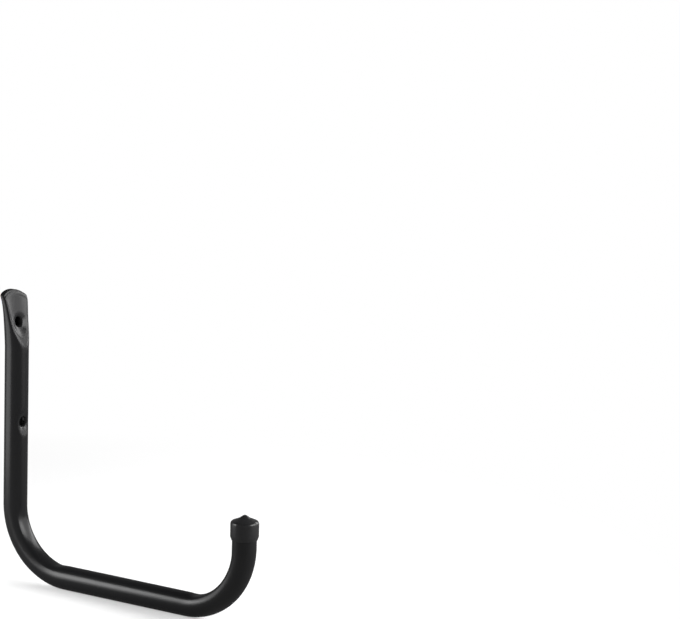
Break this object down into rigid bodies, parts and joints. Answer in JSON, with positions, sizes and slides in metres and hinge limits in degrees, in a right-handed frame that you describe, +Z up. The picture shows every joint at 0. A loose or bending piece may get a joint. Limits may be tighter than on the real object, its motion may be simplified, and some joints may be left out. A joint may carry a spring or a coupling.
{
  "type": "garage utility hook",
  "caption": "Bent steel tube hook that screws to a wall: a pressed upper end, a long flat-bottomed cradle and an upturned tip with a push-on cap.",
  "frame": {"origin": "on the wall plane, midway between the upper and lower screw holes", "axes": "+X away from the wall along the screws and the arm, +Z up along the leg"},
  "size_m": [0.2465, 0.0301, 0.2346],
  "materials": {
    "powder_coat": "satin black powder coat",
    "cap_vinyl": "satin black moulded vinyl"
  },
  "bodies": {
    "root": {"hook_tube": "powder_coat", "end_cap": "cap_vinyl"}
  },
  "joints": []
}
